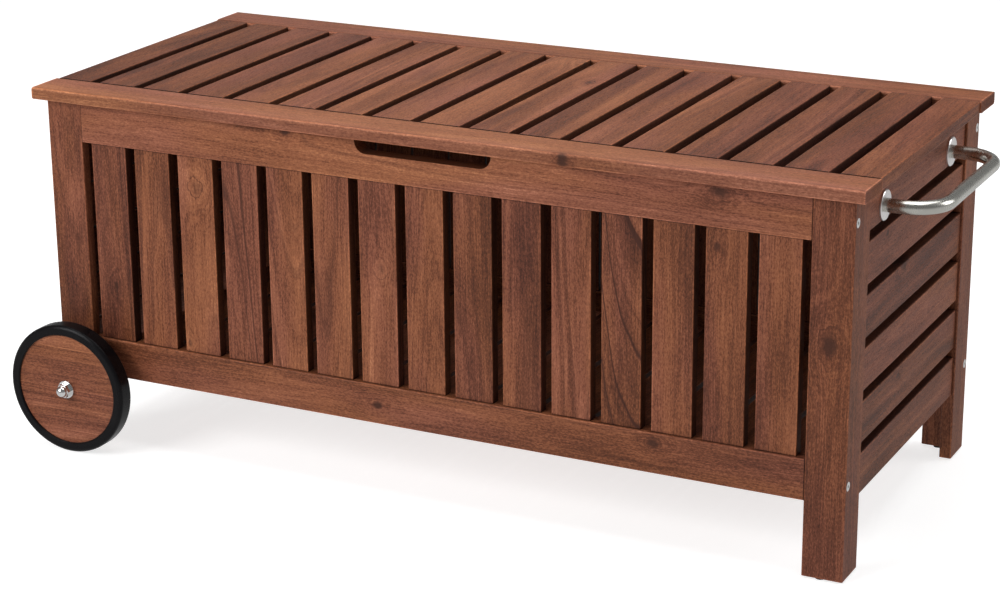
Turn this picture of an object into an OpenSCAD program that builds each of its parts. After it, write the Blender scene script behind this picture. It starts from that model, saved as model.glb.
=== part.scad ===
// Deck storage box: slatted hardwood chest with a hinged lid, two wheels at the left end
// and a U-shaped pull handle at the right end. Millimetres, +Z up, +X to the handle end,
// -Y to the front. Origin: centre of the whole outline, on the floor.

/* [Whole box] */
// Overall height, floor to lid top
box_h = 550; // [450:1:700]
// Lid length
lid_l = 1280; // [900:1:1600]
// Lid depth, front to back
lid_d = 570; // [450:1:700]
// How far the lid stands out past each end
over_x = 16; // [5:1:30]
// How far the lid stands out past the front and the back
over_y = 15; // [12:1:30]

/* [Lid] */
// Thickness of the lid boards
lid_t = 18; // [12:1:25]
// Width of the long lid rails
lid_rail_w = 67; // [50:1:90]
// Gap between lid slats
lid_gap_w = 15.5; // [8:0.5:20]
// Lid end to the middle of the first gap
lid_first_gap = 65; // [50:1:90]
// How far the end slats stay inside the rail ends
lid_end_inset = 2; // [0:0.5:6]
// Edge rounding of the long lid rails
lid_round = 4; // [1:0.5:6]
// Closing gap between lid and box
lid_rest_gap = 0.4; // [0.3:0.1:2]

/* [Posts] */
// Post width along the front
post_w = 58; // [45:1:80]
// Post depth along the end
post_d = 58; // [45:1:80]
// Board thickness of the angled posts
post_t = 18; // [14:1:25]
// Height of the left post ends above the floor
left_post_z = 60; // [40:1:80]

/* [Front and back panels] */
// Rail thickness
rail_t = 24; // [20:1:30]
// Top rail height
top_rail_h = 60; // [45:1:80]
// Bottom rail height
low_rail_h = 59; // [45:1:80]
// Underside of the bottom rails
low_rail_z = 111; // [90:1:140]
// Upright slat width
slat_w = 59.3; // [45:0.1:70]
// Upright slat pitch
slat_pitch = 74.7; // [60:0.1:90]
// Slat thickness
slat_t = 18; // [12:1:22]
// How far slats sit behind the rail and post faces
set_back = 4; // [2:0.5:6]
// Gap between the boards of the back panel
back_gap = 3; // [2:0.5:15]

/* [Finger slot] */
// Width of the slot at the top of the front rail
finger_w = 212; // [120:1:300]
// Depth of the slot below the rail top
finger_h = 22; // [15:1:30]
// Radius of the two lower slot corners
finger_r = 18; // [5:1:20]

/* [End panels] */
// Height of each end slat
end_slat_h = 59; // [45:1:70]
// End slat pitch
end_pitch = 73.7; // [60:0.1:90]
// Gap between the slats of the left end, over the axle
left_gap = 3; // [2:0.5:15]

/* [Floor] */
// Gap between floor slats
floor_gap = 8; // [5:1:40]
// Top of the floor slats
floor_z = 137; // [131:1:150]

/* [Hinges] */
// Hinge length
hinge_l = 75; // [50:1:100]
// Outer hinges, from the middle
hinge_x = 430; // [300:1:500]
// Hinge pin diameter
pin_d = 4; // [3:0.5:5]
// Hinge leaf thickness
leaf_t = 2; // [1.5:0.1:3]

/* [Handle] */
// Tube diameter
tube_d = 19; // [16:0.5:25]
// Spacing of the two handle ends
handle_span = 290; // [200:1:340]
// Middle of the bar, out from the end slats
handle_out = 74; // [50:1:90]
// Height of the bar
handle_z = 493; // [480:1:515]
// Bend radius of the tube
bend_r = 50; // [30:1:60]
// Cover flange diameter
flange_d = 42; // [30:1:55]
// Cover flange thickness
flange_t = 3; // [2:0.5:5]

/* [Wheels] */
// Wheel radius over the tyre
wheel_r = 100; // [80:1:120]
// Tyre width
tyre_w = 29; // [20:1:40]
// Visible wooden disc radius
disc_r = 85; // [60:1:100]
// Wooden disc thickness
disc_t = 22; // [15:1:25]
// Axle, in from the outer face of the left posts
axle_in = 41; // [25:1:45]
// Wheel face, out from the front of the posts
wheel_out = 56; // [45:1:70]
// Axle rod diameter
axle_d = 12; // [8:1:16]

/* [Hardware] */
// Frame bolt diameter
bolt_d = 6; // [5:1:8]
// Frame bolt head diameter
bolt_head_d = 13; // [9:1:16]
// Height of a foot glide
glide_h = 3; // [2:1:6]
// Foot glide diameter
glide_d = 14; // [10:1:20]

/* [Hidden] */
$fn = 96;
wood = [0.45, 0.24, 0.15];
dark_wood = [0.38, 0.20, 0.13];
steel = [0.75, 0.75, 0.74];
black = [0.06, 0.06, 0.07];
running_fit = 0.05;
lid_slats = 17;
front_slats = 15;
end_slats = 6;
back_boards = 17;
floor_slats = 13;
floor_end = 3;
ease = 1.6;
tenon = 12;
tenon_t = 8;
tenon_in = 8;
post_x = lid_l / 2 - over_x;
post_y = lid_d / 2 - over_y;
left_reach = post_x - axle_in + wheel_r;
right_reach = post_x - set_back + handle_out + tube_d / 2;
mid_x = (left_reach - right_reach) / 2;
lid_z = box_h - lid_t;
top_z = lid_z - lid_rest_gap;
inner_x = post_x - post_w;
inner_y = post_y - post_d;
back_w = (2 * inner_x - (back_boards + 1) * back_gap) / back_boards;
floor_w = (2 * (inner_x - floor_end) - (floor_slats - 1) * floor_gap) / floor_slats;
end_drop = end_slat_h + (end_slats - 1) * end_pitch;
left_slat_h = (end_drop - (end_slats - 1) * left_gap) / end_slats;
top_rail_z = top_z - top_rail_h;
low_rail_top = low_rail_z + low_rail_h;
lid_pitch = (lid_l - 2 * lid_first_gap) / (lid_slats - 2);
lid_slat_l = lid_d - 2 * lid_rail_w;
end_face_x = post_x - set_back;
axle_x = -post_x + axle_in;
bolt_y = post_y - 10;
bolt_zs = [low_rail_z + 27, top_rail_z + 28.4];
bolt_l = 100;
bolt_head_t = 3;
bolt_key_af = 5;
knuckle_r = 4;
hinge_y = post_y + knuckle_r + lid_rest_gap;
hinge_z = lid_z - knuckle_r - lid_rest_gap;
knuckles = 5;
hinge_places = [-hinge_x, 0, hinge_x];
leaf_in = 30;
leaf_drop = 34;
stop_low = 0.8;
screw_places = [-26, 0, 26];
screw_d = 4;
side_play = 0.4;
tyre_lip = 3;
tread_round = 6;
lip_ease = 1.5;
disc_y = post_y + wheel_out - (tyre_w - disc_t) / 2;
washer_d = 27;
washer_t = 2.5;
nut_af = 19;
nut_h = 9;
rod_end = disc_y + side_play + washer_t + nut_h + 3;
sleeve_d = 20;
stud_d = 8;
stud_l = 13;
glide_pin_d = 5;
glide_pin_l = 14;
glide_x = post_x - 34;

function two(i) = i < 10 ? str("0", i) : str(i);
function arc(x, y, r, a, n) = [for (i = [0:n]) [x + r * cos(a + i * 90 / n), y + r * sin(a + i * 90 / n)]];
function eased(w, t, r, n) = concat(
    arc(w / 2 - r, t - r, r, 0, n),
    arc(-w / 2 + r, t - r, r, 90, n),
    arc(-w / 2 + r, r, r, 180, n),
    arc(w / 2 - r, r, r, 270, n));

// Board lying along X: width along Y from the middle, thickness up from z = 0
module board_x(l, w, t, r = ease, n = 2) {
    translate([-l / 2, 0, 0])
        rotate([90, 0, 90])
            linear_extrude(height = l)
                polygon(eased(w, t, r, n));
}

// Board lying along Y: width along X from the middle, thickness up from z = 0
module board_y(l, w, t) {
    translate([0, l / 2, 0])
        rotate([90, 0, 0])
            linear_extrude(height = l)
                polygon(eased(w, t, ease, 2));
}

// Upright board: width along X from the middle, thickness along +Y, height up from z = 0
module board_z(h, w, t) {
    linear_extrude(height = h)
        polygon(eased(w, t, ease, 2));
}

// Block placed by its middle in X and Y and by its underside
module block(x, y, z, w, d, h) {
    translate([x - w / 2, y - d / 2, z])
        cube([w, d, h]);
}

// Cylinder along X or Y from a start point
module rod_x(x, y, z, d, l) {
    translate([x, y, z])
        rotate([0, 90, 0])
            cylinder(d = d, h = l);
}

module rod_y(x, y, z, d, l) {
    translate([x, y, z])
        rotate([-90, 0, 0])
            cylinder(d = d, h = l);
}

// Lid ----------------------------------------------------------------

function lid_gap_x(k) = -lid_l / 2 + lid_first_gap + (k - 1) * lid_pitch;
function lid_left(i) = i == 1 ? -lid_l / 2 + lid_end_inset : lid_gap_x(i - 1) + lid_gap_w / 2;
function lid_right(i) = i == lid_slats ? lid_l / 2 - lid_end_inset : lid_gap_x(i) - lid_gap_w / 2;

// Stub tenons on one end of a lid slat, also used to cut the mortises
module lid_tenon(i, side) {
    w = lid_right(i) - lid_left(i) - 2 * tenon_in;
    x = (lid_right(i) + lid_left(i)) / 2;
    block(x, side * (lid_slat_l / 2 + tenon / 2), lid_z + (lid_t - tenon_t) / 2, w, tenon, tenon_t);
}

module lid_slat(i) {
    color(wood)
        translate([mid_x, 0, 0]) {
            translate([(lid_right(i) + lid_left(i)) / 2, 0, lid_z])
                board_y(lid_slat_l, lid_right(i) - lid_left(i), lid_t);
            lid_tenon(i, -1);
            lid_tenon(i, 1);
        }
}

module lid_rail(side) {
    color(wood)
        translate([mid_x, 0, 0])
            difference() {
                translate([0, side * (lid_d - lid_rail_w) / 2, lid_z])
                    board_x(lid_l, lid_rail_w, lid_t, lid_round, 4);
                for (i = [1:lid_slats])
                    lid_tenon(i, side);
            }
}

// Front and back panels -----------------------------------------------

function slat_x(i) = (i - (front_slats + 1) / 2) * slat_pitch;
function back_x(i) = (i - (back_boards + 1) / 2) * (back_w + back_gap);

// Stub tenons at both ends of an upright slat, also used to cut the mortises
module slat_tenons(x, wide, side) {
    y = side * (post_y - set_back - slat_t / 2);
    w = wide - 2 * tenon_in;
    block(x, y, low_rail_top - tenon, w, tenon_t, tenon);
    block(x, y, top_rail_z, w, tenon_t, tenon);
}

module panel_tenons(side) {
    if (side < 0)
        for (i = [1:front_slats])
            slat_tenons(slat_x(i), slat_w, side);
    else
        for (i = [1:back_boards])
            slat_tenons(back_x(i), back_w, side);
}

module upright_slat(x, wide, side) {
    y = side * (post_y - set_back - slat_t / 2) - slat_t / 2;
    translate([x, y, low_rail_top])
        board_z(top_rail_z - low_rail_top, wide, slat_t);
    slat_tenons(x, wide, side);
}

module front_slat(i) {
    color(wood)
        translate([mid_x, 0, 0])
            upright_slat(slat_x(i), slat_w, -1);
}

module back_slats() {
    color(wood)
        translate([mid_x, 0, 0])
            for (i = [1:back_boards])
                upright_slat(back_x(i), back_w, 1);
}

// Threaded bolt holes in both ends of a rail
module rail_bolt_holes(side) {
    for (end = [-1, 1])
        at_bolts(end, side)
            bolt_shape();
}

module floor_slat_ends(side) {
    y = side * (post_y - rail_t + 5);
    for (i = [1:floor_slats])
        block(floor_x(i), y, floor_z - slat_t, floor_w, 10, slat_t);
}

module bottom_rail(side) {
    color(wood)
        translate([mid_x, 0, 0])
            difference() {
                translate([0, side * (post_y - rail_t / 2), low_rail_z])
                    board_x(2 * inner_x, rail_t, low_rail_h);
                panel_tenons(side);
                floor_slat_ends(side);
                rail_bolt_holes(side);
            }
}

module top_rail(side) {
    difference() {
        translate([0, side * (post_y - rail_t / 2), top_rail_z])
            board_x(2 * inner_x, rail_t, top_rail_h);
        panel_tenons(side);
        rail_bolt_holes(side);
    }
}

// Finger slot: open at the top, with rounded lower corners
module finger_slot() {
    y = -post_y + rail_t / 2;
    low = top_z - finger_h;
    depth = rail_t + 2;
    block(0, y, low + finger_r, finger_w, depth, finger_h);
    block(0, y, low, finger_w - 2 * finger_r, depth, finger_h);
    for (side = [-1, 1])
        rod_y(side * (finger_w / 2 - finger_r), y - depth / 2, low + finger_r, 2 * finger_r, depth);
}

module front_top_rail() {
    color(wood)
        translate([mid_x, 0, 0])
            difference() {
                top_rail(-1);
                finger_slot();
            }
}

// Shallow seats in the back rail for the lid leaves
module leaf_seats() {
    depth = leaf_t + 0.5 - lid_rest_gap;
    for (x = hinge_places)
        block(x, post_y - leaf_in / 2 - 0.5, top_z - depth, hinge_l + 2, leaf_in + 3, depth + 1);
}

module back_top_rail() {
    color(wood)
        translate([mid_x, 0, 0])
            difference() {
                top_rail(1);
                leaf_seats();
                for (x = hinge_places)
                    for (s = screw_places)
                        rod_y(x + s, post_y - 14, hinge_z - 22, screw_d, 14);
            }
}

// Posts ----------------------------------------------------------------

// Angled section with its corner at the outside of the box, pointing to -X -Y, long edges eased
module post_section() {
    polygon(concat(
        arc(ease, ease, ease, 180, 2),
        arc(post_w - ease, ease, ease, 270, 2),
        arc(post_w - ease, post_t - ease, ease, 0, 2),
        [[post_t, post_t]],
        arc(post_t - ease, post_d - ease, ease, 0, 2),
        arc(ease, post_d - ease, ease, 90, 2)));
}

module post(end, side) {
    low = end < 0 ? left_post_z : glide_h;
    color(dark_wood)
        translate([mid_x, 0, 0])
            difference() {
                translate([end * post_x, side * post_y, low])
                    mirror([end > 0 ? 1 : 0, 0, 0])
                        mirror([0, side > 0 ? 1 : 0, 0])
                            linear_extrude(height = top_z - low)
                                post_section();
                at_bolts(end, side)
                    bolt_shape();
                for (i = [1:end_slats])
                    end_tenon(i, end, side);
                if (end < 0)
                    rod_y(axle_x, side * post_y - post_d, wheel_r, axle_d, 2 * post_d);
                if (end > 0)
                    translate([glide_x, side * bolt_y, low])
                        cylinder(d = glide_pin_d, h = glide_pin_l);
            }
}

// End panels -------------------------------------------------------------

function end_h(end) = end < 0 ? left_slat_h : end_slat_h;
function end_step(end) = end < 0 ? left_slat_h + left_gap : end_pitch;
function end_low(i, end) = top_z - end_h(end) - (i - 1) * end_step(end);

module end_tenon(i, end, side) {
    x = end * (post_x - post_t / 2 - set_back / 2);
    h = end_h(end) - 2 * tenon_in;
    block(x, side * (inner_y + tenon / 2), end_low(i, end) + tenon_in, tenon_t, tenon, h);
}

module end_slat(i, end) {
    x = end * (end_face_x - slat_t / 2);
    translate([x, 0, end_low(i, end) + end_h(end) / 2])
        rotate([0, 90, 0])
            translate([0, 0, -slat_t / 2])
                board_y(2 * inner_y, end_h(end), slat_t);
    end_tenon(i, end, -1);
    end_tenon(i, end, 1);
}

module left_end_slats() {
    color(wood)
        translate([mid_x, 0, 0])
            for (i = [1:end_slats])
                end_slat(i, -1);
}

module right_end_slats() {
    color(wood)
        translate([mid_x, 0, 0])
            for (i = [1:end_slats])
                difference() {
                    end_slat(i, 1);
                    if (i == 1)
                        for (side = [-1, 1])
                            handle_stud(side, stud_l + 1);
                }
}

// Floor --------------------------------------------------------------------

function floor_x(i) = (i - (floor_slats + 1) / 2) * (floor_w + floor_gap);

module floor_slats() {
    color(dark_wood)
        translate([mid_x, 0, 0])
            for (i = [1:floor_slats])
                block(floor_x(i), 0, floor_z - slat_t, floor_w, 2 * (post_y - rail_t + 10), slat_t);
}

// Hinges --------------------------------------------------------------------

// Barrel pieces of one hinge: odd places belong to the box leaf, even ones to the lid leaf
module knuckle(k) {
    l = hinge_l / knuckles;
    rod_x(-hinge_l / 2 + k * l + side_play / 2, hinge_y, hinge_z, 2 * knuckle_r, l - side_play);
}

// Web that ties a box knuckle to its plate
module box_web(k) {
    l = hinge_l / knuckles;
    x = -hinge_l / 2 + (k + 0.5) * l;
    web_h = leaf_drop / 2;
    block(x, post_y + leaf_t / 2, hinge_z - web_h, l - side_play, leaf_t, web_h);
}

// Web that ties a lid knuckle to its plate and reaches back to the stop
module lid_web(k) {
    l = hinge_l / knuckles;
    x = -hinge_l / 2 + (k + 0.5) * l;
    back = lid_d / 2 - hinge_y;
    stop_d = back - knuckle_r - side_play;
    web_t = leaf_t + lid_rest_gap;
    block(x, hinge_y - 3, lid_z - web_t, l - side_play, 8, web_t);
    block(x, hinge_y + back / 2, lid_z - leaf_t, l - side_play, back, leaf_t);
    block(x, lid_d / 2 - stop_d / 2, hinge_z - stop_low, l - side_play, stop_d, lid_z - hinge_z + stop_low);
}

module pin_bore() {
    rod_x(-hinge_l, hinge_y, hinge_z, pin_d + 2 * running_fit, 2 * hinge_l);
}

module box_leaf() {
    plate_h = leaf_drop - knuckle_r - 1;
    difference() {
        union() {
            for (k = [0:2:knuckles - 1]) {
                knuckle(k);
                box_web(k);
            }
            block(0, post_y + leaf_t / 2, hinge_z - leaf_drop, hinge_l - side_play, leaf_t, plate_h);
            for (s = screw_places)
                rod_y(s, post_y - 12, hinge_z - 22, screw_d, 12 + leaf_t);
        }
        pin_bore();
    }
}

module lid_leaf() {
    difference() {
        union() {
            for (k = [1:2:knuckles - 1]) {
                knuckle(k);
                lid_web(k);
            }
            block(0, post_y - leaf_in / 2, lid_z - leaf_t, hinge_l - side_play, leaf_in, leaf_t);
        }
        pin_bore();
    }
}

module hinge_box_leaves() {
    color(steel)
        translate([mid_x, 0, 0])
            for (x = hinge_places)
                translate([x, 0, 0])
                    box_leaf();
}

module hinge_lid_leaves() {
    color(steel)
        translate([mid_x, 0, 0])
            for (x = hinge_places)
                translate([x, 0, 0])
                    lid_leaf();
}

module hinge_pins() {
    color(steel)
        translate([mid_x, 0, 0])
            for (x = hinge_places)
                rod_x(x - hinge_l / 2, hinge_y, hinge_z, pin_d, hinge_l);
}

// Handle ---------------------------------------------------------------------

// Quarter bend of the tube at one side
module bend(side) {
    translate([end_face_x + handle_out - bend_r, side * (handle_span / 2 - bend_r), handle_z])
        rotate([0, 0, side > 0 ? 0 : -90])
            rotate_extrude(angle = 90)
                translate([bend_r, 0])
                    circle(d = tube_d);
}

// Stud behind one end of the handle, from inside the end slat outwards
module handle_stud(side, l) {
    rod_x(end_face_x - stud_l, side * handle_span / 2, handle_z, stud_d, l);
}

module handle_bar() {
    leg = handle_out - bend_r;
    grip_l = handle_span - 2 * bend_r;
    color(steel)
        translate([mid_x, 0, 0]) {
            for (side = [-1, 1]) {
                rod_x(end_face_x + flange_t, side * handle_span / 2, handle_z, tube_d, leg - flange_t);
                bend(side);
                handle_stud(side, stud_l + flange_t);
            }
            rod_y(end_face_x + handle_out, -grip_l / 2, handle_z, tube_d, grip_l);
        }
}

module handle_flanges() {
    color(steel)
        translate([mid_x, 0, 0])
            for (side = [-1, 1])
                translate([end_face_x, side * handle_span / 2, handle_z])
                    rotate([0, 90, 0])
                        difference() {
                            union() {
                                cylinder(d = flange_d, h = flange_t - 1);
                                translate([0, 0, flange_t - 1])
                                    cylinder(d1 = flange_d, d2 = flange_d - 2, h = 1);
                            }
                            translate([0, 0, -1])
                                cylinder(d = stud_d, h = flange_t + 2);
                        }
}

// Wheels -----------------------------------------------------------------------

// Wheel turned on its own axis at the origin, outer face towards +Z
module disc_shape() {
    difference() {
        cylinder(r = disc_r + tyre_lip, h = disc_t, center = true);
        cylinder(d = axle_d + 2 * running_fit, h = 2 * disc_t, center = true);
    }
}

// Half section of the tyre: rounded tread edges, and a seat for the rim of the disc
module tyre_profile() {
    depth = wheel_r - disc_r;
    difference() {
        translate([disc_r, -tyre_w / 2])
            polygon(concat(
                [[0, lip_ease], [lip_ease, 0]],
                arc(depth - tread_round, tread_round, tread_round, 270, 6),
                arc(depth - tread_round, tyre_w - tread_round, tread_round, 0, 6),
                [[lip_ease, tyre_w], [0, tyre_w - lip_ease]]));
        translate([disc_r - 1, -disc_t / 2])
            square([tyre_lip + 1, disc_t]);
    }
}

module tyre_shape() {
    rotate_extrude()
        tyre_profile();
}

module at_wheel(side) {
    translate([mid_x + axle_x, side * (disc_y - disc_t / 2), wheel_r])
        rotate([side > 0 ? -90 : 90, 0, 0])
            children();
}

module wheel_front_disc() {
    color(wood)
        at_wheel(-1)
            disc_shape();
}

module wheel_back_disc() {
    color(wood)
        at_wheel(1)
            disc_shape();
}

module wheel_front_tyre() {
    color(black)
        at_wheel(-1)
            tyre_shape();
}

module wheel_back_tyre() {
    color(black)
        at_wheel(1)
            tyre_shape();
}

module axle_rod() {
    color(steel)
        rod_y(mid_x + axle_x, -rod_end, wheel_r, axle_d, 2 * rod_end);
}

// One washer outside each disc and one sleeve between disc and post
module axle_spacers() {
    sleeve_l = disc_y - disc_t - side_play - post_y;
    color(steel)
        for (side = [-1, 1])
            translate([mid_x + axle_x, 0, wheel_r])
                rotate([side > 0 ? -90 : 90, 0, 0])
                    difference() {
                        union() {
                            translate([0, 0, disc_y + side_play])
                                cylinder(d = washer_d, h = washer_t);
                            translate([0, 0, post_y])
                                cylinder(d = sleeve_d, h = sleeve_l);
                        }
                        cylinder(d = axle_d, h = 2 * disc_y);
                    }
}

module axle_nuts() {
    seat = disc_y + side_play + washer_t;
    color(steel)
        for (side = [-1, 1])
            translate([mid_x + axle_x, 0, wheel_r])
                rotate([side > 0 ? -90 : 90, 0, 0])
                    difference() {
                        union() {
                            translate([0, 0, seat])
                                cylinder(d = nut_af / cos(30), h = nut_h, $fn = 6);
                            translate([0, 0, seat + nut_h])
                                intersection() {
                                    sphere(d = nut_af - 1);
                                    cylinder(d = nut_af, h = nut_af);
                                }
                        }
                        cylinder(d = axle_d, h = rod_end);
                    }
}

// Hardware --------------------------------------------------------------------------

// Flush-headed bolt with its head at the origin, pointing to +Z
module bolt_shape() {
    cylinder(d = bolt_head_d, h = bolt_head_t);
    cylinder(d = bolt_d, h = bolt_l);
}

// The two bolts of one post, heads in its end face
module at_bolts(end, side) {
    for (z = bolt_zs)
        translate([end * post_x, side * bolt_y, z])
            rotate([0, end > 0 ? -90 : 90, 0])
                children();
}

module frame_bolts() {
    color(steel)
        translate([mid_x, 0, 0])
            for (end = [-1, 1])
                for (side = [-1, 1])
                    at_bolts(end, side)
                        difference() {
                            bolt_shape();
                            translate([0, 0, -1])
                                cylinder(d = bolt_key_af, h = 3, $fn = 6);
                        }
}

module foot_glides() {
    color(black)
        for (side = [-1, 1])
            translate([mid_x + glide_x, side * bolt_y, 0]) {
                cylinder(d = glide_d, h = glide_h);
                cylinder(d = glide_pin_d, h = glide_h + glide_pin_l);
            }
}

lid_rail(-1);  // lid_front_rail
lid_rail(1);  // lid_back_rail
for (i = [1:lid_slats])
    lid_slat(i);
front_top_rail();
bottom_rail(-1);  // front_bottom_rail
for (i = [1:front_slats])
    front_slat(i);
back_top_rail();
bottom_rail(1);  // back_bottom_rail
back_slats();
post(-1, -1);  // post_front_left
post(1, -1);  // post_front_right
post(-1, 1);  // post_back_left
post(1, 1);  // post_back_right
left_end_slats();
right_end_slats();
floor_slats();
hinge_box_leaves();
hinge_lid_leaves();
hinge_pins();
handle_bar();
handle_flanges();
wheel_front_disc();
wheel_front_tyre();
wheel_back_disc();
wheel_back_tyre();
axle_rod();
axle_spacers();
axle_nuts();
frame_bolts();
foot_glides();
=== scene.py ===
import math
import random

import bpy
from mathutils import Matrix, Vector


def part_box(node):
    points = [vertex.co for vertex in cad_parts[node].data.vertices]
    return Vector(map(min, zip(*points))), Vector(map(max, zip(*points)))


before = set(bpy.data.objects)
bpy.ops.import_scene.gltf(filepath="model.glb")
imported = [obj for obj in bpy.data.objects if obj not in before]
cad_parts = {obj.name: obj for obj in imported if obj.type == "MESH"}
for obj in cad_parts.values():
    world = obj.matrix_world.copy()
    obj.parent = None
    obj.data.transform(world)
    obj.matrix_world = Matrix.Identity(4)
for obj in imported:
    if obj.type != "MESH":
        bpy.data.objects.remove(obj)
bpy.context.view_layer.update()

MM = 0.001


# ---------------------------------------------------------------- node graphs
class Graph:
    """A material's node tree, as nested calls. A value is a number, a tuple or an output socket."""

    def __init__(self, name):
        self.material = bpy.data.materials.new(name)
        self.material.use_nodes = True
        self.tree = self.material.node_tree
        self.tree.nodes.clear()
        self.coords = self.tree.nodes.new("ShaderNodeTexCoord")
        split = self.tree.nodes.new("ShaderNodeSeparateXYZ")
        self.tree.links.new(self.coords.outputs["Object"], split.inputs[0])
        self.axis = dict(zip("xyz", split.outputs))

    def put(self, socket, value):
        if isinstance(value, bpy.types.NodeSocket):
            self.tree.links.new(value, socket)
        else:
            socket.default_value = value

    def node(self, kind, inputs, **settings):
        made = self.tree.nodes.new(kind)
        for key, value in settings.items():
            setattr(made, key, value)
        for key, value in inputs.items():
            self.put(made.inputs[key], value)
        return made

    def math(self, operation, *values):
        return self.node("ShaderNodeMath", dict(enumerate(values)), operation=operation).outputs[0]

    def add(self, *values):
        total = values[0]
        for value in values[1:]:
            total = self.math("ADD", total, value)
        return total

    def mul(self, a, b):
        return self.math("MULTIPLY", a, b)

    def scaled(self, value, factor, offset):
        return self.math("MULTIPLY_ADD", value, factor, offset)

    def size(self, value):
        return self.math("ABSOLUTE", value)

    def larger(self, a, b):
        return self.math("MAXIMUM", a, b)

    def smaller(self, a, b):
        return self.math("MINIMUM", a, b)

    def length(self, a, b):
        return self.math("SQRT", self.add(self.mul(a, a), self.mul(b, b)))

    def range(self, value, low, high, to_low=0.0, to_high=1.0):
        """value as it goes from low to high, turned smoothly into to_low to to_high."""
        inputs = {0: value, 1: low, 2: high, 3: to_low, 4: to_high}
        return self.node("ShaderNodeMapRange", inputs, interpolation_type="SMOOTHSTEP").outputs[0]

    def vector(self, x, y, z):
        return self.node("ShaderNodeCombineXYZ", {0: x, 1: y, 2: z}).outputs[0]

    def split(self, vector):
        return self.node("ShaderNodeSeparateXYZ", {0: vector}).outputs

    def noise(self, vector, scale=1.0, detail=2.0, roughness=0.5, colour=False):
        inputs = {"Vector": vector, "Scale": scale, "Detail": detail, "Roughness": roughness}
        made = self.node("ShaderNodeTexNoise", inputs)
        return made.outputs["Color" if colour else 0]

    def noise1(self, value, scale, detail, roughness):
        inputs = {"W": value, "Scale": scale, "Detail": detail, "Roughness": roughness}
        return self.node("ShaderNodeTexNoise", inputs, noise_dimensions="1D").outputs[0]

    def ramp(self, value, stops):
        made = self.node("ShaderNodeValToRGB", {0: value})
        points = made.color_ramp.elements
        while len(points) < len(stops):
            points.new(0.5)
        for point, (place, colour) in zip(points, stops):
            point.position = place
            point.color = (*colour, 1.0)
        return made.outputs[0]

    def mix(self, factor, a, b, blend="MIX"):
        made = self.node("ShaderNodeMix", {0: factor}, data_type="RGBA", blend_type=blend)
        self.put(made.inputs[6], (*a, 1.0) if isinstance(a, tuple) else a)
        self.put(made.inputs[7], (*b, 1.0) if isinstance(b, tuple) else b)
        return made.outputs[2]

    def tinted(self, colour, tint, amount):
        return self.mix(amount, colour, tint, "MULTIPLY")

    def bump(self, height, strength, distance):
        inputs = {"Strength": strength, "Distance": distance, "Height": height}
        return self.node("ShaderNodeBump", inputs).outputs[0]

    def finish(self, **sockets):
        """sockets: the shader's own inputs by name, with _ for a space."""
        shader = self.node("ShaderNodeBsdfPrincipled", {})
        for key, value in sockets.items():
            self.put(shader.inputs[key.replace("_", " ")], value)
        self.node("ShaderNodeOutputMaterial", {0: shader.outputs[0]})
        return self.material


def paint(names, material):
    for name in [names] if isinstance(names, str) else names:
        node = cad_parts[name]
        for slot in node.material_slots:
            slot.material = material


# ---------------------------------------------------------------------- wood
DARK_STREAK = (0.050, 0.014, 0.007)
HEARTWOOD = (0.118, 0.036, 0.016)
MID_WOOD = (0.192, 0.063, 0.030)
LIGHT_WOOD = (0.275, 0.100, 0.050)
PALE_WOOD = (0.400, 0.165, 0.088)
WOOD_TONES = [
    (0.12, DARK_STREAK),
    (0.36, HEARTWOOD),
    (0.54, MID_WOOD),
    (0.76, LIGHT_WOOD),
    (0.98, PALE_WOOD),
]
KNOT_CORE = (0.046, 0.014, 0.007)
COOL_CAST, WARM_CAST = (0.97, 0.93, 1.02), (1.03, 1.01, 0.86)
PORE_TINT = (0.42, 0.36, 0.33)
END_TINT = (0.52, 0.46, 0.44)
# Painted shade along the joints and on the narrow sides of boards
JOINT_SHADE_TINT = (0.22, 0.19, 0.18)
FLANK_SHADE_TINT = (0.30, 0.27, 0.27)
# Paler worn edges, which also stand in as a painted highlight along the arrises
WORN_EDGE_HIGHLIGHT_TINT = (1.75, 1.80, 1.80)
GLUE_TINT = (1.60, 1.75, 1.80)

# How dark the core of a knot is where the wood around it is lighter, from 0 to 1
PALE_KNOT = 0.45
# Knots are this much longer along the grain than across it
KNOT_STRETCH = 1.5
# How fine each layer of the figure is: noise cycles per metre, along the grain and across it
SWAY = (2.2, 11.0)
CLOUD = (4.5, 20.0)
FIBRE = (9.0, 430.0)
FLECK = (230.0, 520.0)
PORE = (95.0, 1250.0)
CHIP = (60.0, 200.0)
# Noise cycles per metre outwards from the pith, for the soft bands and for the thin dark lines
BANDS, LINES = 130.0, 230.0
# The grain wanders over a band this wide
WANDER = 18 * MM
# The pith lies at least this far from the middle of the board's thickness, and up to this much further
PITH_NEAR, PITH_SPREAD = 18 * MM, 60 * MM


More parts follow.
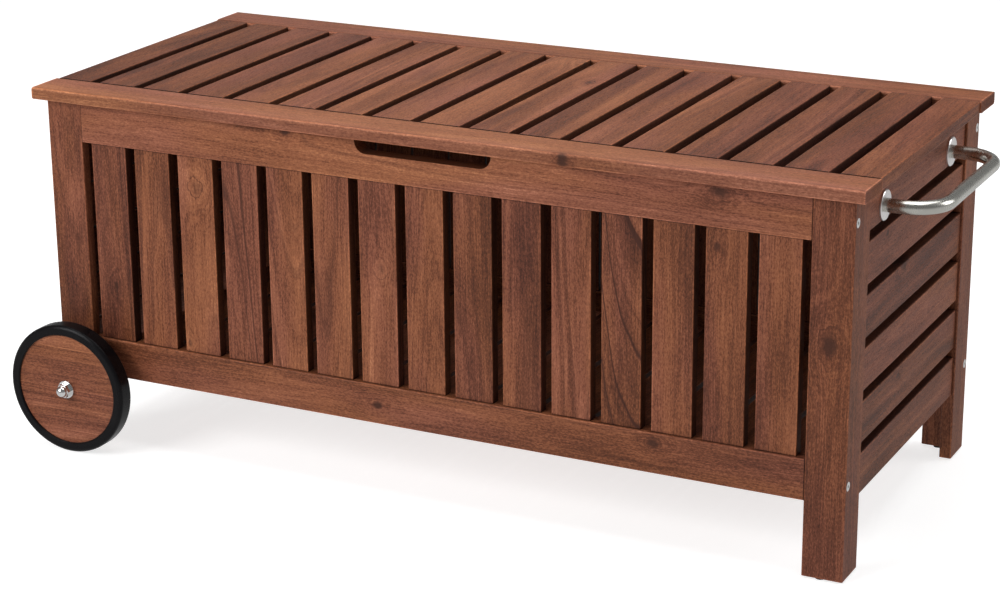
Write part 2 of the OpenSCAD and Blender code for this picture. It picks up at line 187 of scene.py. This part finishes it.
def wood(name, axes, low, high, seed, light=0.0, figure=0.6, streaks=0.25, knots=(), cells=None,
         tilt=None, arris=2.4 * MM, wear_and_highlight=0.85, joint=None, flank=0.0, unshaded_side=0, glued=False):
    """Stained hardwood. axes is grain, width and thickness, such as "zxy". low and high are its corners.

    Rings are cylinders round a pith line beside the board, wobbled by noise and bent round the knots, so
    that all faces agree. light makes the board lighter or darker, figure and streaks say how bold its bands
    and its dark lines are, and tilt is the lean of the pith line. arris is the width of the worn edges,
    which are also painted paler as a highlight, and wear_and_highlight says how pale they are.
    A knot is (along, across, radius, halo): halo lightens or darkens the wood around it.
    cells is (axis, first board's centre, pitch) where one node holds several boards, which then differ.
    Knots are then given from the middle of a board, with the number of that board last. glued boards touch,
    and their glue lines show.
    joint is how far inside the board's ends its joints lie, where painted shade draws them as dark lines.
    flank is painted shade on the narrow sides, most of which face a gap that keeps the light off.
    unshaded_side is the one (-1 or 1) that faces no gap and gets no painted shade.
    """
    g = Graph(name)
    rng = random.Random(seed)
    centre = (Vector(low) + Vector(high)) / 2
    half = (Vector(high) - Vector(low)) / 2
    place = dict(g.axis)
    middle = dict(zip("xyz", centre))
    reach = dict(zip("xyz", half))
    # The board's own luck: its place in the noise, its pith line's place across and in depth, and its tilt
    luck = [rng.random() for _ in range(4)]
    if cells:
        axis, first, pitch = cells
        number = g.math("ROUND", g.scaled(place[axis], 1 / pitch, -first / pitch))
        draw = g.node("ShaderNodeTexWhiteNoise", {"W": g.add(number, seed * 1.7)}, noise_dimensions="1D")
        luck[0], luck[1], luck[2] = g.split(draw.outputs["Color"])
        luck[3] = draw.outputs["Value"]
        place[axis] = g.scaled(number, -pitch, g.add(place[axis], -first))
        middle[axis] = 0.0
    u, v, w = (g.add(place[a], -middle[a]) for a in axes)

    # Second largest of the three distances to the box faces: it nears 0 along every outer edge.
    gaps = [g.scaled(g.size(d), 1.0, -reach[a]) for d, a in zip((u, v, w), axes)]
    upper, lower = g.larger(gaps[0], gaps[1]), g.smaller(gaps[0], gaps[1])
    edge_depth = g.larger(lower, g.smaller(upper, gaps[2]))

    shift = g.scaled(luck[0], 9.0, seed * 0.37)
    along = g.add(u, shift)

    def layer(fineness, across, deep, detail, roughness, colour=False):
        spot = g.vector(g.mul(along, fineness[0]), g.mul(across, fineness[1]), g.mul(deep, fineness[1]))
        return g.noise(spot, 1.0, detail, roughness, colour)

    # The wandering grain, then the knots that push it aside
    sway = g.split(layer(SWAY, v, w, 2.0, 0.5, colour=True))
    bent_v = g.add(v, g.scaled(sway[0], WANDER, -WANDER / 2))
    bent_w = g.add(w, g.scaled(sway[1], WANDER, -WANDER / 2))
    lift, core, halo_tone, swirl = 0.0, 0.0, 0.0, 0.0
    if knots:
        ragged = g.noise(g.vector(g.mul(u, 70.0), g.mul(v, 95.0), g.mul(w, 40.0)), 1.0, 3.0, 0.6)
    for knot_u, knot_v, radius, halo, *board in knots:
        du = g.scaled(u, 1 / KNOT_STRETCH, (middle[axes[0]] - knot_u) / KNOT_STRETCH)
        dv = g.add(bent_v, middle[axes[1]] - knot_v)
        away = g.add(g.length(du, dv), g.scaled(ragged, 1.3 * radius, -0.65 * radius))
        if board:
            away = g.add(away, g.size(g.add(number, -board[0])))
        hump = g.math("EXPONENT", g.mul(g.mul(away, away), -1 / (2.4 * radius) ** 2))
        lift = g.add(lift, g.mul(hump, 2.6 * radius))
        bent_v = g.add(bent_v, g.mul(g.mul(dv, hump), -0.55))
        inside = g.range(away, 1.15 * radius, 0.35 * radius)
        core = g.larger(core, g.mul(inside, PALE_KNOT if halo > 0 else 1.0))
        halo_tone = g.add(halo_tone, g.mul(hump, halo))
        swirl = g.larger(swirl, g.range(away, 2.6 * radius, 0.9 * radius))

    # Rings, by distance from the pith line
    pith_v = g.scaled(luck[1], 2.2 * reach[axes[1]], -1.1 * reach[axes[1]])
    pith_w = g.scaled(luck[2], PITH_SPREAD, PITH_NEAR)
    lean = tilt if tilt is not None else g.scaled(luck[3], 0.10, -0.05)
    from_pith = g.math("SUBTRACT", bent_v, pith_v)
    beside = g.add(g.math("SUBTRACT", bent_w, pith_w), g.mul(u, lean))
    ring = g.add(g.length(from_pith, beside), lift)
    ring = g.add(ring, g.mul(shift, 0.013))
    band = g.noise1(ring, BANDS, 3.0, 0.62)
    line = g.range(g.noise1(g.add(ring, 3.0), LINES, 2.0, 0.5), 0.58, 0.74)
    fibre = layer(FIBRE, bent_v, bent_w, 3.0, 0.65)
    fleck = layer(FLECK, bent_v, bent_w, 2.0, 0.7)
    pores = g.range(layer(PORE, bent_v, bent_w, 1.0, 0.5), 0.60, 0.70)
    cloud = layer(CLOUD, v, w, 3.0, 0.55)

    # From all of them one tone, and its colour
    tone = g.scaled(band, 0.80 * figure, 0.5 - 0.40 * figure + light)
    grain = g.scaled(fibre, 0.68, -0.34), g.scaled(fleck, 0.90, -0.45), g.scaled(cloud, 0.60, -0.30)
    tone = g.add(tone, *grain)
    if cells:
        tone = g.add(tone, g.scaled(luck[3], 0.16, -0.08))
    if knots:
        tone = g.add(tone, halo_tone)
        line = g.larger(g.mul(line, streaks), g.mul(g.mul(line, swirl), 0.9))
    else:
        line = g.mul(line, streaks)
    colour = g.ramp(tone, WOOD_TONES)
    cast = g.mix(g.range(sway[2], 0.38, 0.62), COOL_CAST, WARM_CAST)
    colour = g.tinted(colour, cast, 1.0)
    colour = g.mix(line, colour, DARK_STREAK)
    colour = g.tinted(colour, PORE_TINT, g.mul(pores, 0.55))
    if knots:
        colour = g.mix(g.mul(core, 0.85), colour, KNOT_CORE)

    # End grain, worn edges with a painted highlight, painted shade on narrow sides and at joints, glue
    # lines
    normal = dict(zip("xyz", g.split(g.coords.outputs["Normal"])))
    end = g.range(g.size(normal[axes[0]]), 0.55, 0.85)
    colour = g.tinted(colour, END_TINT, end)
    # Worn edges, painted paler, which also serves as a painted highlight along the arrises
    chips = layer(CHIP, v, w, 2.0, 0.6)
    worn_highlight_rim = g.mul(g.range(edge_depth, -arris, -0.3 * arris), g.range(chips, 0.30, 0.62, 0.35, 1.0))
    colour = g.tinted(colour, WORN_EDGE_HIGHLIGHT_TINT, g.mul(worn_highlight_rim, wear_and_highlight))
    # Painted shade on the narrow sides, where gaps and overhangs keep the light off
    if flank:
        turn = normal[axes[1]]
        side = g.range(g.mul(turn, -unshaded_side) if unshaded_side else g.size(turn), 0.60, 0.95)
        colour = g.tinted(colour, FLANK_SHADE_TINT, g.mul(side, flank))
    # Painted shade in the crevice along each joint
    if joint is not None:
        joint_shade = g.range(gaps[0], -joint - 2.2 * MM, -joint - 0.4 * MM)
        colour = g.tinted(colour, JOINT_SHADE_TINT, joint_shade)
    if glued:
        seam = g.range(g.size(place[axis]), pitch / 2 - 1.1 * MM, pitch / 2 - 0.4 * MM)
        colour = g.tinted(colour, GLUE_TINT, g.mul(seam, 0.6))

    rough = g.add(g.scaled(fibre, 0.20, 0.44), g.mul(pores, 0.16), g.mul(end, 0.14), g.mul(worn_highlight_rim, -0.08))
    raised = g.add(g.mul(fibre, 0.45), g.mul(band, 0.35))
    height = g.add(raised, g.mul(pores, -0.8), g.mul(core, -0.5), g.mul(fleck, 0.2))
    return g.finish(
        Base_Color=colour,
        Roughness=rough,
        Normal=g.bump(height, 0.55, 0.25 * MM),
        Specular_IOR_Level=0.20,
    )


def paint_board(node, axes, seed, **looks):
    low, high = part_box(node)
    paint(node, wood("wood_" + node, axes, low, high, seed, **looks))


# Each board's own look: lighter or darker, how bold its figure is, and its knots.
LID_LOOKS = {
    1: dict(light=-0.16, unshaded_side=-1),
    2: dict(light=-0.14),
    3: dict(light=-0.04),
    4: dict(light=-0.03),
    5: dict(light=0.05),
    7: dict(light=0.06),
    9: dict(light=0.10, knots=[(0.197, 0.018, 0.007, 0.10)]),
    10: dict(light=0.05, knots=[(0.087, 0.079, 0.005, -0.10)]),
    14: dict(light=-0.04),
    15: dict(light=-0.05),
    16: dict(light=-0.10),
    17: dict(light=-0.08, unshaded_side=1),
}
FRONT_LOOKS = {
    1: dict(light=-0.11, knots=[(0.255, -0.532, 0.006, -0.12)], streaks=0.5),
    2: dict(light=-0.02),
    3: dict(light=0.03, knots=[(0.424, -0.384, 0.010, 0.14), (0.184, -0.404, 0.005, 0.10)], figure=0.8),
    4: dict(light=-0.06, streaks=0.75),
    5: dict(light=0.06, figure=0.8, tilt=0.09),
    6: dict(light=0.06, streaks=0.6),
    7: dict(light=0.03, knots=[(0.344, -0.083, 0.006, 0.16)], figure=0.7),
    8: dict(light=0.03, figure=0.8, tilt=-0.08),
    9: dict(light=-0.07),
    10: dict(light=-0.05, figure=0.8),
    11: dict(light=0.01, figure=0.8),
    12: dict(light=-0.10, streaks=1.0, figure=0.9, tilt=0.12),
    13: dict(light=-0.05),
    14: dict(light=-0.05, knots=[(0.445, 0.424, 0.006, -0.08)]),
    15: dict(light=-0.01),
}
POST_KNOTS = {"post_front_right": [(0.332, 0.585, 0.013, -0.12)]}
LID_SLATS, FRONT_SLATS = 17, 15
# How far the slats run into the rails and posts
TENON = 12 * MM
# Slats have painted shade along their joints and on their narrow sides
SLAT = dict(joint=TENON, flank=0.9)
ROUND_ARRIS = 3.5 * MM

for number in range(1, LID_SLATS + 1):
    paint_board(f"lid_slat_{number:02d}", "yxz", 100 + number, **SLAT, **LID_LOOKS.get(number, {}))
for number in range(1, FRONT_SLATS + 1):
    paint_board(f"front_slat_{number:02d}", "zxy", 200 + number, **SLAT, **FRONT_LOOKS.get(number, {}))
# Lighter in tone, partly as painted light for the light its rounded front catches; painted shade on its
# front face
paint_board("lid_front_rail", "xyz", 301, light=0.20, figure=0.5, flank=0.30, arris=ROUND_ARRIS,
            knots=[(0.209, -0.285, 0.006, -0.20)])
paint_board("lid_back_rail", "xyz", 302, light=0.10, figure=0.5, arris=ROUND_ARRIS)
# Painted shade on its faces that point up and down, such as the finger slot's lip in the lid's shadow
paint_board("front_top_rail", "xzy", 303, light=0.10, joint=0.0, flank=0.95,
            knots=[(0.426, 0.520, 0.009, -0.12), (-0.227, 0.525, 0.006, -0.08)])
paint_board("front_bottom_rail", "xzy", 304, light=0.02, joint=0.0,
            knots=[(-0.088, 0.140, 0.007, -0.06), (0.339, 0.153, 0.007, -0.14)])
paint_board("back_top_rail", "xzy", 305, joint=0.0)
paint_board("back_bottom_rail", "xzy", 306, light=-0.04, joint=0.0)
posts = ("post_front_left", "post_front_right", "post_back_left", "post_back_right")
for seed, node in enumerate(posts, 501):
    paint_board(node, "zxy", seed, light=-0.07, knots=POST_KNOTS.get(node, ()))


def paint_cells(node, axes, seed, axis, count, gap, **looks):
    """A node of several boards side by side along one axis, alike, with the same gap between them all."""
    low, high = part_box(node)
    place = "xyz".index(axis)
    wide = (high[place] - low[place] - (count - 1) * gap) / count
    first = low[place] + wide / 2
    low[place], high[place] = -wide / 2, wide / 2
    paint(node, wood("wood_" + node, axes, low, high, seed, cells=(axis, first, wide + gap), **looks))


BACK_BOARDS, BACK_GAP = 17, 3 * MM
FLOOR_BOARDS, FLOOR_GAP = 13, 8 * MM
END_SLATS, LEFT_GAP, RIGHT_GAP = 6, 3 * MM, 14.7 * MM
RIGHT_KNOTS = [
    (-0.052, 0.015, 0.005, -0.10, 1),
    (-0.044, 0.024, 0.007, -0.20, 3),
    (-0.125, 0.020, 0.004, -0.10, 4),
]
paint_cells("back_slats", "zxy", 401, "x", BACK_BOARDS, BACK_GAP, light=-0.03, **SLAT)
paint_cells("left_end_slats", "yzx", 402, "z", END_SLATS, LEFT_GAP, light=-0.05, **SLAT)
paint_cells("right_end_slats", "yzx", 403, "z", END_SLATS, RIGHT_GAP, light=-0.06, **SLAT,
            knots=RIGHT_KNOTS)
paint_cells("floor_slats", "yxz", 404, "x", FLOOR_BOARDS, FLOOR_GAP, light=-0.05, flank=0.9)

# The wheel discs are glued up from boards of this width. One glue line runs through the middle.
DISC_BOARD = 65 * MM
for seed, node in enumerate(("wheel_front_disc", "wheel_back_disc"), 601):
    low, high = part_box(node)
    first = (low[2] + high[2]) / 2 - 1.5 * DISC_BOARD
    looks = dict(light=0.05, figure=0.9, wear_and_highlight=0.0, cells=("z", first, DISC_BOARD), glued=True)
    paint(node, wood("wood_" + node, "xzy", low, high, seed, **looks))


# -------------------------------------------------------------------- metals
def steel(name, colour, rough_low, rough_high, brush):
    """Brushed metal: fine lines that run up and down, brush of them per metre, and soft smudges."""
    g = Graph(name)
    x, y, z = (g.axis[a] for a in "xyz")
    lines = g.noise(g.vector(g.mul(x, brush), g.mul(y, brush), g.mul(z, 25.0)), 1.0, 2.0, 0.6)
    smudge = g.noise(g.coords.outputs["Object"], 38.0, 3.0, 0.6)
    tint = g.mix(g.range(smudge, 0.3, 0.75), colour, tuple(0.86 * c for c in colour))
    tint = g.mix(g.mul(g.range(lines, 0.35, 0.7), 0.25), tint, tuple(0.8 * c for c in colour))
    rough = g.add(g.range(smudge, 0.3, 0.7, rough_low, rough_high), g.scaled(lines, 0.10, -0.05))
    return g.finish(Base_Color=tint, Metallic=1.0, Roughness=rough, Normal=g.bump(lines, 0.05, 0.03 * MM))


fixings = ["axle_rod", "axle_spacers", "axle_nuts"]
hinges = ["hinge_box_leaves", "hinge_lid_leaves", "hinge_pins"]
paint("handle_bar", steel("steel_handle", (0.64, 0.63, 0.58), 0.23, 0.30, 900.0))
paint("handle_flanges", steel("steel_flange", (0.86, 0.83, 0.82), 0.26, 0.36, 700.0))
paint(fixings, steel("steel_fixing", (0.86, 0.85, 0.84), 0.10, 0.18, 500.0))
paint("frame_bolts", steel("steel_bolt", (0.80, 0.79, 0.78), 0.26, 0.36, 500.0))
paint(hinges, steel("steel_hinge", (0.62, 0.615, 0.60), 0.28, 0.40, 420.0))


# -------------------------------------------------------- rubber and plastic
def rubber(name, colour, dust):
    """Black rubber or plastic with a fine grain and patches of dust."""
    g = Graph(name)
    grain = g.noise(g.coords.outputs["Object"], 1500.0, 2.0, 0.6)
    patches = g.noise(g.coords.outputs["Object"], 26.0, 4.0, 0.6)
    tint = g.mix(g.mul(g.range(patches, 0.45, 0.75), 0.5), colour, dust)
    rough = g.add(g.range(patches, 0.3, 0.7, 0.24, 0.34), g.scaled(grain, 0.10, -0.05))
    bump = g.bump(grain, 0.25, 0.12 * MM)
    return g.finish(Base_Color=tint, Roughness=rough, Normal=bump, Specular_IOR_Level=0.13)


tyre = rubber("rubber_tyre", (0.0040, 0.0036, 0.0044), (0.008, 0.0075, 0.0078))
paint(["wheel_front_tyre", "wheel_back_tyre"], tyre)
paint("foot_glides", rubber("plastic_glide", (0.015, 0.015, 0.015), (0.035, 0.033, 0.032)))


# -------------------------------------------------------------------- studio
def soft_box(name, place, size, watts):
    """A rectangular light at place that faces the middle of the box."""
    data = bpy.data.lights.new(name, "AREA")
    data.shape = "RECTANGLE"
    data.size, data.size_y = size
    data.energy = watts
    lamp = bpy.data.objects.new(name, data)
    bpy.context.scene.collection.objects.link(lamp)
    lamp.location = place
    lamp.rotation_mode = "QUATERNION"
    lamp.rotation_quaternion = (Vector(MIDDLE) - Vector(place)).to_track_quat("-Z", "Y")


MIDDLE = (0.0, 0.0, 0.3)
soft_box("key", (-2.2, -3.7, 2.7), (2.6, 2.0), 165.0)
soft_box("top", (0.0, 0.3, 3.8), (4.0, 3.0), 125.0)
soft_box("side", (3.6, 1.8, 2.2), (2.0, 2.0), 45.0)
soft_box("back", (-2.4, 4.4, 1.9), (3.0, 1.6), 8.0)

world = bpy.data.worlds.new("studio")
bpy.context.scene.world = world
world.use_nodes = True
world.node_tree.nodes.clear()


def in_world(kind, inputs=(), **settings):
    made = world.node_tree.nodes.new(kind)
    for key, value in settings.items():
        setattr(made, key, value)
    for socket, value in dict(inputs).items():
        if isinstance(value, bpy.types.NodeSocket):
            world.node_tree.links.new(value, made.inputs[socket])
        else:
            made.inputs[socket].default_value = value
    return made


# White behind the box, a dim dome for soft fill, and reflections that are brighter below than above.
FILL, SKY_SHINE, GROUND_SHINE = 0.12, 0.20, 0.62
# Half the height of the soft step between the two reflections, at the horizon
HORIZON = 0.10
WHITE = (1.0, 1.0, 1.0, 1.0)
path = in_world("ShaderNodeLightPath")
heading = in_world("ShaderNodeSeparateXYZ", {0: in_world("ShaderNodeTexCoord").outputs["Generated"]})
step = {0: heading.outputs[2], 1: -HORIZON, 2: HORIZON, 3: GROUND_SHINE, 4: SKY_SHINE}
shine = in_world("ShaderNodeMapRange", step)
strength = in_world("ShaderNodeMix", {0: path.outputs["Is Glossy Ray"], 2: FILL, 3: shine.outputs[0]})
dome = in_world("ShaderNodeBackground", {0: WHITE, 1: strength.outputs[0]})
backdrop = in_world("ShaderNodeBackground", {0: WHITE, 1: 1.0})
seen = path.outputs["Is Camera Ray"]
choose = in_world("ShaderNodeMixShader", {0: seen, 1: dome.outputs[0], 2: backdrop.outputs[0]})
in_world("ShaderNodeOutputWorld", {0: choose.outputs[0]})

# A wide pale floor that glows a little, so that it nears white round the box's soft shadow
FLOOR_HALF = 30.0
FLOOR_GREY = (0.50, 0.50, 0.50, 1.0)
FLOOR_GLOW = 0.74
corners = [(-1, -1), (1, -1), (1, 1), (-1, 1)]
mesh = bpy.data.meshes.new("studio_floor")
mesh.from_pydata([(x * FLOOR_HALF, y * FLOOR_HALF, 0.0) for x, y in corners], [], [(0, 1, 2, 3)])
floor = bpy.data.objects.new("studio_floor", mesh)
bpy.context.scene.collection.objects.link(floor)
g = Graph("studio_floor")
mesh.materials.append(g.finish(Base_Color=FLOOR_GREY, Roughness=0.8, Specular_IOR_Level=0.1,
                               Emission_Color=WHITE, Emission_Strength=FLOOR_GLOW))
floor.visible_glossy = False

bpy.context.scene.view_settings.view_transform = "Standard"

# -------------------------------------------------------------------- camera
AZIMUTH, ELEVATION, ROLL = math.radians(26.73), math.radians(18.68), math.radians(-0.44)
EYE = (1.6048, -3.2412, 1.4544)
SENSOR_MM, LENS_MM = 36.0, 92.2
level = math.cos(ELEVATION)
back = Vector((math.sin(AZIMUTH) * level, -math.cos(AZIMUTH) * level, math.sin(ELEVATION)))
right = Vector((math.cos(AZIMUTH), math.sin(AZIMUTH), 0.0))
up = back.cross(right)
right, up = right * math.cos(ROLL) + up * math.sin(ROLL), up * math.cos(ROLL) - right * math.sin(ROLL)
camera_data = bpy.data.cameras.new("camera")
camera_data.sensor_width = SENSOR_MM
camera_data.lens = LENS_MM
camera = bpy.data.objects.new("camera", camera_data)
camera.matrix_world = Matrix.Translation(EYE) @ Matrix((right, up, back)).transposed().to_4x4()
bpy.context.scene.collection.objects.link(camera)
bpy.context.scene.camera = camera
